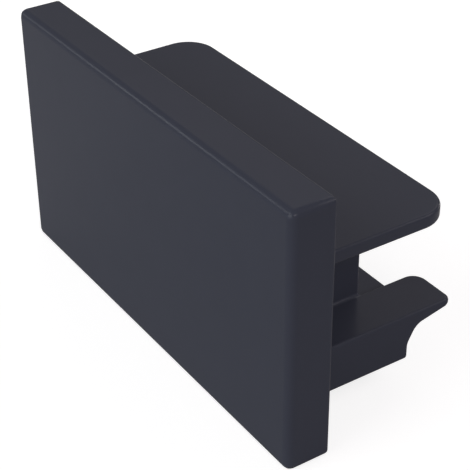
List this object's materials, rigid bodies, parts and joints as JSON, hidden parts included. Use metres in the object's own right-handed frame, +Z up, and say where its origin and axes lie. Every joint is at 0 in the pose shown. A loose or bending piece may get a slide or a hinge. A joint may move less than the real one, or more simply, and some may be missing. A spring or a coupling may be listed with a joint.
{
  "type": "track end cap",
  "caption": "Moulded end cap for lighting track: a rectangular face plate whose back carries a rounded tongue, a web and a pronged foot that plug into the track's open end.",
  "frame": {"origin": "centre of the face plate's back face, the seat plane that meets the track's cut end", "axes": "+Y out of the seat plane along the track, the way the insert goes in; +X along the plate's width; +Z up, from the pronged foot towards the tongue"},
  "size_m": [0.035, 0.0166, 0.0198],
  "materials": {
    "anthracite_plastic": "satin"
  },
  "bodies": {
    "root": {"end_cap": "anthracite_plastic"}
  },
  "joints": []
}
